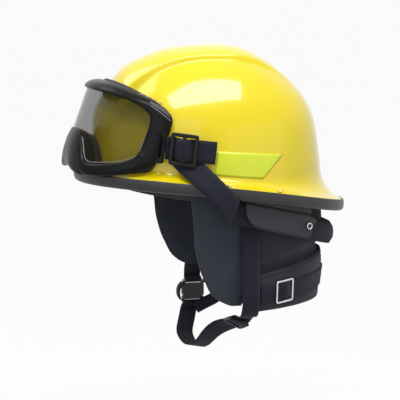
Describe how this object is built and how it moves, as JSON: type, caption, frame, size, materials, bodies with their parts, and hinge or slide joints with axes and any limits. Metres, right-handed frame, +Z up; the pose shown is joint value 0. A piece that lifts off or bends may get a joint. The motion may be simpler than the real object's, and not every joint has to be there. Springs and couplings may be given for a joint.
{
  "type": "fire helmet",
  "caption": "Fire helmet with a combed hard shell, strapped goggles, ear flaps, neck curtain, ratchet headband and buckled chin strap.",
  "frame": {"origin": "seat of the head, in the middle of the headband's opening", "axes": "+Z up, -Y to the helmet's front, +X to the wearer's left"},
  "size_m": [0.2564, 0.324, 0.3455],
  "materials": {
    "shell": "glossy moulded fibreglass, bright yellow",
    "trim": "satin extruded rubber",
    "brass": "small plated rivets",
    "reflective": "lime reflective sheet",
    "liner": "rigid foam",
    "key": "moulded nylon",
    "webbing": "woven navy-black webbing",
    "elastic": "woven elastic, navy-black",
    "band": "moulded polyethylene",
    "padding": "padded brushed cloth",
    "ratchet": "moulded nylon",
    "pinion": "moulded acetal",
    "steel": "plated steel",
    "cloth": "flame-resistant woven cloth, charcoal blue-grey",
    "frame": "satin black moulded frame",
    "lens": "clear polycarbonate",
    "foam": "open-cell face foam",
    "vent": "silver filter ribs",
    "leather": "dark stitched leather",
    "buckle": "moulded acetal"
  },
  "bodies": {
    "helmet": {"shell": "shell", "edge_trim": "trim", "brim_rivets": "brass", "reflective_left": "reflective", "reflective_right": "reflective", "impact_liner": "liner", "crown_keys": "key", "crown_strap_a": "webbing", "crown_strap_b": "webbing", "crown_strap_c": "webbing", "headband": "band", "brow_pad": "padding", "ratchet_housing": "ratchet", "ratchet_cover": "ratchet", "ratchet_screws": "steel", "nape_pad": "padding", "ear_flap_left": "cloth", "ear_flap_right": "cloth", "neck_curtain": "cloth", "curtain_band": "cloth", "nape_strap": "webbing", "nape_slide": "steel", "goggle_strap_left": "elastic", "goggle_strap_right": "elastic", "goggle_strap_rear": "elastic", "keeper_hangers": "leather", "keeper_snaps": "steel", "chin_strap_left": "webbing", "chin_strap_right": "webbing", "chin_anchors": "steel", "buckle_socket": "buckle", "chin_loop": "webbing", "rear_leg": "webbing", "chin_adjuster": "buckle", "chin_tail": "webbing"},
    "goggles": {"goggle_frame": "frame", "goggle_lens": "lens", "goggle_foam": "foam", "goggle_vents": "vent", "outrigger_left": "frame", "outrigger_right": "frame", "strap_slide_left": "frame", "strap_slide_right": "frame", "strap_tail_left": "elastic", "strap_tail_right": "elastic"},
    "knob": {"ratchet_knob": "band", "ratchet_pinion": "pinion"},
    "arm_left": {"nape_arm_left": "band"},
    "arm_right": {"nape_arm_right": "band"},
    "flap_left": {"keeper_left": "leather", "snap_cap_left": "steel"},
    "flap_right": {"keeper_right": "leather", "snap_cap_right": "steel"},
    "plug": {"buckle_plug": "buckle"}
  },
  "joints": [
    {"name": "goggle_pull", "type": "slide", "parent": "helmet", "child": "goggles", "axis": [0, -0.9397, 0.342], "range_m": [0, 0.04], "stiffness_N_per_m": 150, "springref_m": -0.05, "deforming": ["goggle_strap_left", "goggle_strap_right"]},
    {"name": "ratchet_turn", "type": "hinge", "parent": "helmet", "child": "knob", "pos_m": [0, 0.07615, -0.05066], "axis": [0, -0.991, 0.134], "range_deg": [0, 90]},
    {"name": "arm_left_slide", "type": "slide", "parent": "helmet", "child": "arm_left", "axis": [-1, 0, 0], "range_m": [0, 0.0125]},
    {"name": "arm_right_slide", "type": "slide", "parent": "helmet", "child": "arm_right", "axis": [1, 0, 0], "range_m": [0, 0.0125]},
    {"name": "keeper_left_fold", "type": "hinge", "parent": "helmet", "child": "flap_left", "pos_m": [0.10712, 0.05, -0.00956], "axis": [0.2774, -0.9342, 0.2242], "range_deg": [0, 45]},
    {"name": "keeper_right_fold", "type": "hinge", "parent": "helmet", "child": "flap_right", "pos_m": [-0.10712, 0.05, -0.00956], "axis": [0.2774, 0.9342, -0.2242], "range_deg": [0, 45]},
    {"name": "buckle_release", "type": "slide", "parent": "helmet", "child": "plug", "axis": [0, 0, -1], "range_m": [0, 0.022], "deforming": ["chin_loop", "rear_leg"]}
  ],
  "couplings": [
    {"joint": "arm_left_slide", "follows": "ratchet_turn", "m_per_rad": 0.0075},
    {"joint": "arm_right_slide", "follows": "ratchet_turn", "m_per_rad": 0.0075}
  ]
}
